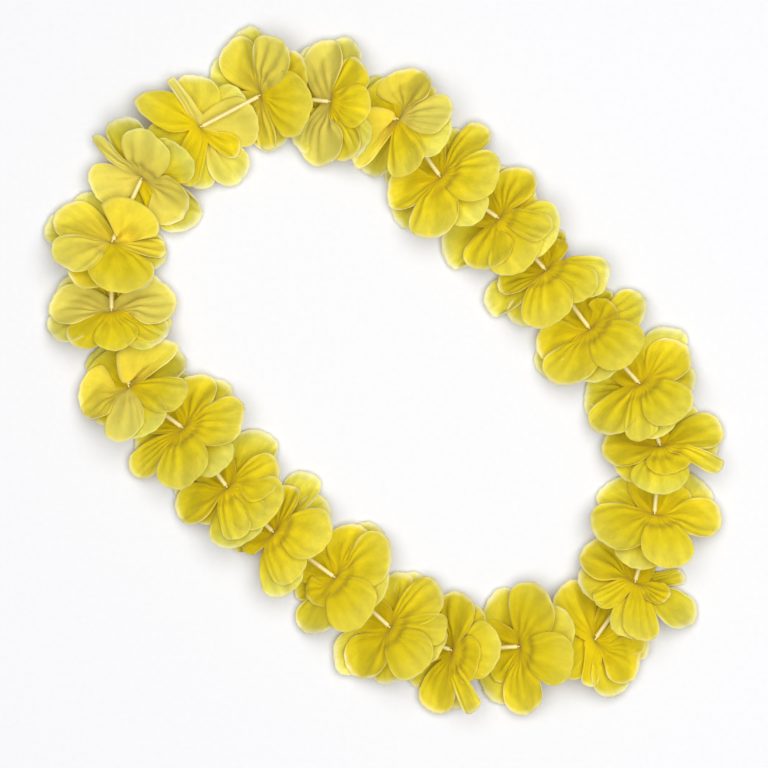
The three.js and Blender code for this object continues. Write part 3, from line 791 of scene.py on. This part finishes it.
class Nodes:
    """A material's node tree, with short ways to add and join nodes."""

    def __init__(self, name):
        self.material = bpy.data.materials.new(name)
        self.material.use_nodes = True
        self.tree = self.material.node_tree
        self.tree.nodes.clear()

    def add(self, kind, **settings):
        node = self.tree.nodes.new("ShaderNode" + kind)
        for key, value in settings.items():
            setattr(node, key, value)
        return node

    def join(self, source, target):
        self.tree.links.new(source, target)

    def attribute(self, name, output="Fac"):
        return self.add("Attribute", attribute_name=name).outputs[output]

    def math(self, operation, first, second=0.0):
        node = self.add("Math", operation=operation)
        for socket, value in zip(node.inputs, (first, second)):
            if isinstance(value, (int, float)):
                socket.default_value = value
            else:
                self.join(value, socket)
        return node.outputs[0]

    def place(self, **parts):
        """A vector from its parts, with 0 for one that isn't given."""
        node = self.add("CombineXYZ")
        for key, value in parts.items():
            self.join(value, node.inputs[key])
        return node.outputs[0]

    def noise(self, vector, scale, detail):
        node = self.add("TexNoise")
        node.inputs["Scale"].default_value = scale
        node.inputs["Detail"].default_value = detail
        self.join(vector, node.inputs["Vector"])
        return node.outputs["Fac"]

    def spread(self, value, span, to):
        """A value carried from one range to another, and kept inside it."""
        node = self.add("MapRange")
        for key, number in zip(("From Min", "From Max", "To Min", "To Max"), (*span, *to)):
            node.inputs[key].default_value = number
        self.join(value, node.inputs["Value"])
        return node.outputs["Result"]

    def ramp(self, value, stops):
        node = self.add("ValToRGB")
        marks = node.color_ramp.elements
        while len(marks) < len(stops):
            marks.new(0.5)
        for mark, (place, colour) in zip(marks, stops):
            mark.position = place
            mark.color = colour
        self.join(value, node.inputs["Fac"])
        return node.outputs["Color"]

    def scaled(self, colour, value):
        node = self.add("VectorMath", operation="SCALE")
        self.join(colour, node.inputs[0])
        self.join(value, node.inputs["Scale"])
        return node.outputs[0]

    def tinged(self, colour, share, other):
        """A colour with a share of a plain one mixed in."""
        node = self.add("Mix", data_type="RGBA")
        self.join(share, node.inputs["Factor"])
        self.join(colour, node.inputs["A"])
        node.inputs["B"].default_value = other
        return node.outputs["Result"]

    def bump(self, height, strength, distance):
        node = self.add("Bump")
        node.inputs["Strength"].default_value = strength
        node.inputs["Distance"].default_value = distance * MM
        self.join(height, node.inputs["Height"])
        return node.outputs[0]

    def surface(self, colour, numbers):
        """The main shader, with plain numbers on its own sockets."""
        node = self.add("BsdfPrincipled")
        self.join(colour, node.inputs["Base Color"])
        for socket, number in numbers.items():
            node.inputs[socket].default_value = number
        return node

    def finish(self, shader):
        out = self.add("OutputMaterial")
        self.join(shader, out.inputs["Surface"])
        return self.material


def cloth_material(name, stops, lit_rim_colour, rim_width):
    """Thin pressed cloth: a colour that changes from hub to edge, partly painted light and shade; broad soft
    folds and fine threads along the petals, in the bump and as painted shade; a pale rim, partly frayed
    thread and partly painted light through the thin cloth; a woven bump, and light that comes through it."""
    n = Nodes(name)
    reach = n.attribute("reach")
    streaks = n.place(
        X=n.math("MULTIPLY", n.attribute("fan"), STREAKS_ACROSS), Y=n.math("MULTIPLY", reach, STREAKS_ALONG)
    )
    cloth = n.attribute("cloth", "Vector")
    broad = n.noise(streaks, BROAD_STREAKS, 1.0)
    fine = n.noise(streaks, FINE_STREAKS, 3.0)
    blotches = n.noise(cloth, BLOTCHES, 2.0)
    # The broad folds and the fine threads also raise the bump below: their colour is painted shade, lighter
    # where they rise and darker between.
    shade = n.spread(broad, NOISE_SPAN, BROAD_FOLD_PAINTED_SHADE)
    for value, span, shades in (
        (fine, NOISE_SPAN, FINE_THREAD_PAINTED_SHADE),
        (blotches, NOISE_SPAN, BLOTCH_SHADES),
        (n.attribute("tint"), (0, 1), TINT_SHADES),
        # Painted shade in the pleats' valleys and painted light on their ridges.
        (n.attribute("crease"), CREASE_SPAN, PLEAT_PAINTED_SHADE),
    ):
        shade = n.math("MULTIPLY", shade, n.spread(value, span, shades))
    # The ramp from deep gold at the hub to paler at the edge is painted light and shade: deeper where layers
    # overlap at the hub, paler where light comes through a single layer.
    colour = n.scaled(n.ramp(reach, stops), shade)
    # The tone: partly the cloth's own, partly painted light and shade, paler for petals that rise towards the
    # light, deeper gold for those in shade.
    tone = n.attribute("tone")
    colour = n.tinged(colour, n.spread(tone, (0, 1), (0, PALE_SHARE)), PALE_TONE_AND_LIGHT)
    colour = n.tinged(colour, n.spread(tone, (0, -1), (0, DEEP_SHARE)), DEEP_TONE_AND_SHADE)

    # The pale rim: partly frayed thread, partly painted light that comes through the thin cloth; wider and
    # stronger on the outer cloth, which lies over the table.
    outer = n.attribute("outer")
    frayed_lit_rim = n.math("ADD", n.attribute("rim"), n.spread(blotches, NOISE_SPAN, [size * MM for size in LIT_RIM_FRAY]))
    width = n.spread(outer, (0, 1), (INNER_RIM * MM, rim_width * MM))
    edge = n.math("SUBTRACT", 1.0, n.math("DIVIDE", frayed_lit_rim, width))
    edge = n.math("POWER", n.spread(edge, (0, 1), (0, 1)), RIM_POWER)
    edge = n.math("MULTIPLY", edge, n.spread(outer, (0, 1), RIM_SHARE))
    colour = n.tinged(colour, edge, lit_rim_colour)

    apart = n.add("SeparateXYZ")
    n.join(cloth, apart.inputs[0])
    weave = WHOLE_TURN / (WEAVE_PITCH * MM)
    threads = [n.math("SINE", n.math("MULTIPLY", apart.outputs[axis], weave)) for axis in "XY"]
    relief = n.math("MULTIPLY", n.math("MULTIPLY", *threads), WEAVE_RELIEF)
    relief = n.math("ADD", relief, n.math("MULTIPLY", broad, BROAD_RELIEF))
    relief = n.math("ADD", relief, n.math("MULTIPLY", fine, FINE_RELIEF))
    bump = n.bump(relief, *CLOTH_BUMP)
    body = n.surface(colour, {"Specular IOR Level": 0.2, "Sheen Weight": 0.1, "Sheen Roughness": 0.5})
    n.join(n.spread(fine, NOISE_SPAN, (0.68, 0.82)), body.inputs["Roughness"])
    n.join(bump, body.inputs["Normal"])
    glow = n.add("BsdfTranslucent")
    n.join(colour, glow.inputs["Color"])
    n.join(bump, glow.inputs["Normal"])
    mix = n.add("MixShader")
    mix.inputs[0].default_value = THROUGH
    n.join(body.outputs[0], mix.inputs[1])
    n.join(glow.outputs[0], mix.inputs[2])
    return n.finish(mix.outputs[0])


def straw_material():
    """Cream plastic, a little cloudy along its length."""
    n = Nodes("straw")
    place = n.place(X=n.math("MULTIPLY", n.attribute("run"), STRAW_CLOUDS))
    cloudy = n.noise(place, 1.0, 3.0)
    colour = n.ramp(cloudy, [(0.3, linear(210, 194, 122)), (0.7, linear(225, 209, 142))])
    body = n.surface(colour, {"Specular IOR Level": 0.5, "Subsurface Weight": 0.3})
    body.inputs["Subsurface Radius"].default_value = (MM, MM, MM)
    n.join(n.spread(cloudy, NOISE_SPAN, (0.3, 0.42)), body.inputs["Roughness"])
    return n.finish(body.outputs[0])


def thread_material():
    """Twisted cotton."""
    n = Nodes("cotton")
    twist = n.math("SINE", n.math("MULTIPLY", n.attribute("run"), WHOLE_TURN / (TWIST_PITCH * MM)))
    # The colour follows the twist's bump: painted shade in its grooves, lighter on the strands.
    shades = [(0, linear(226, 210, 140)), (1, linear(244, 232, 176))]
    body = n.surface(n.ramp(n.spread(twist, (-1, 1), (0, 1)), shades), {"Roughness": 0.9})
    n.join(n.bump(twist, *TWIST_BUMP), body.inputs["Normal"])
    return n.finish(body.outputs[0])


def table_material():
    """A plain pale floor with a faint grain."""
    n = Nodes("table")
    grain = n.noise(n.add("TexCoord").outputs["Object"], TABLE_GRAIN, 3.0)
    colour = n.ramp(grain, [(0.2, linear(209, 209, 211)), (0.8, linear(212, 212, 214))])
    body = n.surface(colour, {"Roughness": 0.9, "Specular IOR Level": 0.1})
    return n.finish(body.outputs[0])


# Both layers are the same cloth. Their ramps run from deep gold at the hub to paler at the edge, painted
# shade where the layers overlap and painted light through a single layer over the table; the back cloth is
# painted paler at its edge, with a wider pale rim, since it lies alone over the table.
FRONT_CLOTH = cloth_material(
    "front_cloth",
    [
        (0.0, linear(248, 221, 10)),
        (0.3, linear(245, 222, 16)),
        (0.7, linear(241, 224, 42)),
        (1.0, linear(240, 228, 82)),
    ],
    lit_rim_colour=linear(251, 245, 190),
    rim_width=3.6,
)
BACK_CLOTH = cloth_material(
    "back_cloth",
    [
        (0.0, linear(246, 220, 10)),
        (0.35, linear(244, 224, 22)),
        (0.75, linear(241, 229, 64)),
        (1.0, linear(240, 234, 108)),
    ],
    lit_rim_colour=linear(251, 248, 212),
    rim_width=5.0,
)
STRAW = straw_material()
COTTON = thread_material()
TABLE = table_material()


def dress(piece, node, slot, *materials):
    """Gives a piece its materials, and puts it in the place of a node of the part."""
    for material in materials:
        piece.data.materials.append(material)
    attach(piece, "root")
    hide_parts(node)


def make_lei():
    for k in range(COUNT):
        dress(bloom_piece(k), f"bloom_{k + 1:02d}", "petal", FRONT_CLOTH, BACK_CLOTH)
        dress(straw_piece(k), f"spacer_{k + 1:02d}", "straw", STRAW)
    dress(thread_piece(), "thread", "thread", COTTON)


def make_table():
    corners = [(x * TABLE_HALF, y * TABLE_HALF, 0) for x, y in ((-1, -1), (1, -1), (1, 1), (-1, 1))]
    floor = build_mesh("table_top", corners, [(0, 1, 2, 3)], smooth_shading=False)
    floor.data.materials.append(TABLE)
    floor.location.z = -TABLE_DROP * MM


def make_light():
    """A faint even sky, and a round softbox overhead that is aimed at the origin."""
    world = bpy.data.worlds.new("studio")
    bpy.context.scene.world = world
    world.use_nodes = True
    sky = world.node_tree.nodes["Background"]
    sky.inputs["Color"].default_value = (1, 1, 1, 1)
    sky.inputs["Strength"].default_value = SKY_STRENGTH
    lamp = bpy.data.lights.new("softbox", "AREA")
    lamp.shape = "DISK"
    lamp.size = LAMP_WIDTH * MM
    lamp.energy = LAMP_POWER
    softbox = bpy.data.objects.new("softbox", lamp)
    softbox.location = Vector(LAMP_PLACE) * MM
    softbox.rotation_euler = (-Vector(LAMP_PLACE)).to_track_quat("-Z", "Y").to_euler()
    bpy.context.scene.collection.objects.link(softbox)
    bpy.context.scene.view_settings.view_transform = "Standard"


def make_camera():
    """Straight above the lei, with the photograph's centre and width."""
    lens = bpy.data.cameras.new("camera")
    lens.sensor_width = SENSOR_WIDTH
    lens.lens = SENSOR_WIDTH * CAMERA_DISTANCE / (PHOTO_PIXELS * PIXEL)
    lens.clip_end = FARTHEST_SEEN * MM
    camera = bpy.data.objects.new("camera", lens)
    x = (PHOTO_PIXELS / 2 - PHOTO_CENTRE[0]) * PIXEL - CENTRE[0]
    y = (PHOTO_CENTRE[1] - PHOTO_PIXELS / 2) * PIXEL - CENTRE[1]
    camera.location = Vector((x, y, FOCUS_HEIGHT + CAMERA_DISTANCE)) * MM
    bpy.context.scene.collection.objects.link(camera)
    bpy.context.scene.camera = camera


make_camera()
make_lei()
make_table()
make_light()
